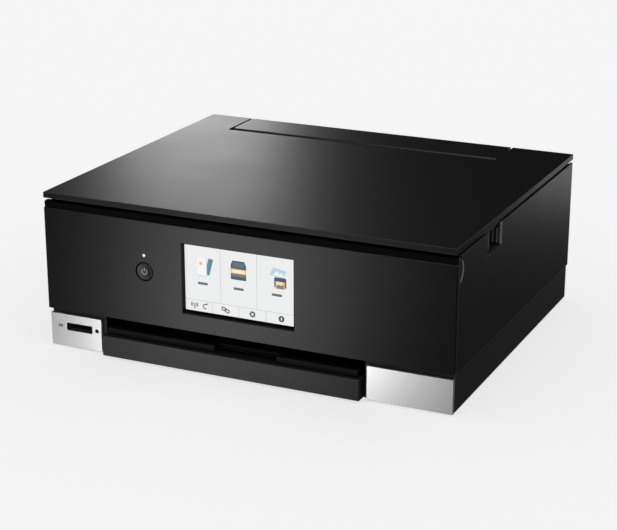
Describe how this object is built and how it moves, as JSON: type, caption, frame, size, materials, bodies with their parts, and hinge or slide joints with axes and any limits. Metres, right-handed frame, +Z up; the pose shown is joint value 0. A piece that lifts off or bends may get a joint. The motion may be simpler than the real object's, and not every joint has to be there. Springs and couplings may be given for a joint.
{
  "type": "inkjet printer",
  "caption": "Low black desktop inkjet printer and flatbed scanner with a tilting touch panel, front paper cassette and rear feed, with its print mechanism inside.",
  "frame": {"origin": "centre of the bounding box's bottom face, on the table under the rubber feet", "axes": "+X to the printer's right as seen from in front, +Y from the front to the back, +Z up"},
  "size_m": [0.372, 0.319, 0.1393],
  "materials": {
    "gloss_black": "glossy black front panel",
    "satin_black": "smooth satin black casing",
    "textured_black": "fine-grained black casing",
    "matt_black": "plain black inner moulding",
    "silver_trim": "satin silver plated trim",
    "steel": "plated sheet and turned steel",
    "rubber": "black rubber",
    "glass": "clear scanner glass",
    "white_pad": "white backing sheet on foam",
    "screen": "lit touch screen under clear glass",
    "grey_plastic": "dark grey moulding",
    "ink_pigment_black": "wide black tank",
    "ink_photo_grey": "grey tank",
    "ink_cyan": "cyan tank",
    "ink_magenta": "magenta tank",
    "ink_yellow": "yellow tank",
    "ink_dye_black": "narrow black tank"
  },
  "bodies": {
    "base": {"lower_case": "textured_black", "left_side_cover": "satin_black", "right_side_cover": "satin_black", "rear_cover": "textured_black", "power_inlet": "matt_black", "usb_port": "steel", "top_frame": "matt_black", "left_trim": "silver_trim", "right_trim": "silver_trim", "card_reader": "matt_black", "foot_front_left": "rubber", "foot_front_right": "rubber", "foot_rear_left": "rubber", "foot_rear_right": "rubber", "chassis": "steel", "guide_shaft": "steel", "platen": "matt_black", "purge_unit": "grey_plastic", "carriage_motor": "steel", "feed_motor": "steel", "power_supply": "grey_plastic", "feed_belt": "rubber", "timing_belt": "rubber", "rear_tray": "matt_black"},
    "transport_cover": {"transport_cover": "textured_black"},
    "feed_roller": {"feed_roller": "rubber", "feed_pulley": "grey_plastic"},
    "eject_roller": {"eject_roller": "rubber", "eject_pulley": "grey_plastic"},
    "drive_pulley": {"drive_pulley": "steel"},
    "idler_pulley": {"idler_pulley": "steel"},
    "carriage": {"carriage": "matt_black", "print_head": "grey_plastic", "ink_tank_pigment_black": "ink_pigment_black", "ink_tank_photo_grey": "ink_photo_grey", "ink_tank_cyan": "ink_cyan", "ink_tank_magenta": "ink_magenta", "ink_tank_yellow": "ink_yellow", "ink_tank_dye_black": "ink_dye_black"},
    "scanner": {"scanner_base": "textured_black", "scanner_frame": "textured_black", "platen_glass": "glass"},
    "scan_bar": {"scan_bar": "matt_black"},
    "lid": {"document_lid": "satin_black", "lid_pad": "white_pad"},
    "support_arm": {"support_arm": "steel"},
    "panel": {"panel_fascia": "gloss_black", "panel_back": "textured_black", "touch_screen": "screen"},
    "power_button": {"power_button": "gloss_black"},
    "output_tray": {"output_tray": "satin_black"},
    "output_extension": {"output_extension": "satin_black"},
    "cassette": {"cassette_tray": "matt_black"},
    "cassette_front": {"cassette_front": "satin_black"},
    "cassette_guide_left": {"cassette_guide_left": "grey_plastic"},
    "cassette_guide_right": {"cassette_guide_right": "grey_plastic"},
    "paper_support": {"paper_support": "matt_black"},
    "rear_guide_left": {"rear_guide_left": "grey_plastic"},
    "rear_guide_right": {"rear_guide_right": "grey_plastic"},
    "rear_tray_cover": {"rear_tray_cover": "satin_black"}
  },
  "joints": [
    {"name": "scanner_lift", "type": "hinge", "parent": "base", "child": "scanner", "pos_m": [0, 0.1467, 0.124], "axis": [-1, 0, 0], "range_deg": [0, 40]},
    {"name": "lid_open", "type": "hinge", "parent": "scanner", "child": "lid", "pos_m": [0, 0.1487, 0.13], "axis": [-1, 0, 0], "range_deg": [0, 85]},
    {"name": "arm_swing", "type": "hinge", "parent": "base", "child": "support_arm", "pos_m": [0.1755, 0.0347, 0.1015], "axis": [-1, 0, 0], "range_deg": [0, 80]},
    {"name": "scan_bar_travel", "type": "slide", "parent": "scanner", "child": "scan_bar", "axis": [1, 0, 0], "range_m": [0, 0.305]},
    {"name": "panel_tilt", "type": "hinge", "parent": "base", "child": "panel", "pos_m": [0, -0.1508, 0.1198], "axis": [-1, 0, 0], "range_deg": [0, 50]},
    {"name": "power_press", "type": "slide", "parent": "panel", "child": "power_button", "axis": [0, 1, 0], "range_m": [0, 0.0008], "stiffness_N_per_m": 600},
    {"name": "output_tray_slide", "type": "slide", "parent": "base", "child": "output_tray", "axis": [0, -1, 0], "range_m": [0, 0.13]},
    {"name": "output_extension_slide", "type": "slide", "parent": "output_tray", "child": "output_extension", "axis": [0, -1, 0], "range_m": [0, 0.09]},
    {"name": "cassette_slide", "type": "slide", "parent": "base", "child": "cassette", "axis": [0, -1, 0], "range_m": [0, 0.2]},
    {"name": "cassette_front_slide", "type": "slide", "parent": "cassette", "child": "cassette_front", "axis": [0, -1, 0], "range_m": [0, 0.05]},
    {"name": "cassette_guide_left_slide", "type": "slide", "parent": "cassette", "child": "cassette_guide_left", "axis": [1, 0, 0], "range_m": [0, 0.058]},
    {"name": "cassette_guide_right_slide", "type": "slide", "parent": "cassette", "child": "cassette_guide_right", "axis": [1, 0, 0], "range_m": [-0.058, 0]},
    {"name": "rear_tray_cover_open", "type": "hinge", "parent": "base", "child": "rear_tray_cover", "pos_m": [0, 0.1487, 0.13], "axis": [-1, 0, 0], "range_deg": [0, 105]},
    {"name": "paper_support_slide", "type": "slide", "parent": "base", "child": "paper_support", "axis": [0, 0.2079, 0.9781], "range_m": [0, 0.0902]},
    {"name": "rear_guide_left_slide", "type": "slide", "parent": "base", "child": "rear_guide_left", "axis": [1, 0, 0], "range_m": [0, 0.06]},
    {"name": "rear_guide_right_slide", "type": "slide", "parent": "base", "child": "rear_guide_right", "axis": [1, 0, 0], "range_m": [-0.06, 0]},
    {"name": "carriage_travel", "type": "slide", "parent": "base", "child": "carriage", "axis": [1, 0, 0], "range_m": [-0.215, 0]},
    {"name": "drive_pulley_spin", "type": "hinge", "parent": "base", "child": "drive_pulley", "pos_m": [0.158, 0.0362, 0.084], "axis": [0, 1, 0], "range_deg": [-1540, 0]},
    {"name": "idler_pulley_spin", "type": "hinge", "parent": "base", "child": "idler_pulley", "pos_m": [-0.158, 0.0362, 0.084], "axis": [0, 1, 0], "range_deg": [-1540, 0]},
    {"name": "feed_roller_spin", "type": "hinge", "parent": "base", "child": "feed_roller", "pos_m": [0, 0.0267, 0.0535], "axis": [1, 0, 0], "continuous": true},
    {"name": "eject_roller_spin", "type": "hinge", "parent": "base", "child": "eject_roller", "pos_m": [0, -0.0853, 0.0535], "axis": [1, 0, 0], "continuous": true},
    {"name": "transport_cover_slide", "type": "slide", "parent": "base", "child": "transport_cover", "axis": [0, 1, 0], "range_m": [0, 0.06]}
  ],
  "couplings": [
    {"joint": "arm_swing", "follows": "scanner_lift", "ratio": 2},
    {"joint": "cassette_guide_right_slide", "follows": "cassette_guide_left_slide", "ratio": -1},
    {"joint": "rear_guide_right_slide", "follows": "rear_guide_left_slide", "ratio": -1},
    {"joint": "paper_support_slide", "follows": "rear_tray_cover_open", "m_per_rad": 0.049111},
    {"joint": "drive_pulley_spin", "follows": "carriage_travel", "rad_per_m": 125},
    {"joint": "idler_pulley_spin", "follows": "carriage_travel", "rad_per_m": 125},
    {"joint": "eject_roller_spin", "follows": "feed_roller_spin", "ratio": 1.2}
  ]
}
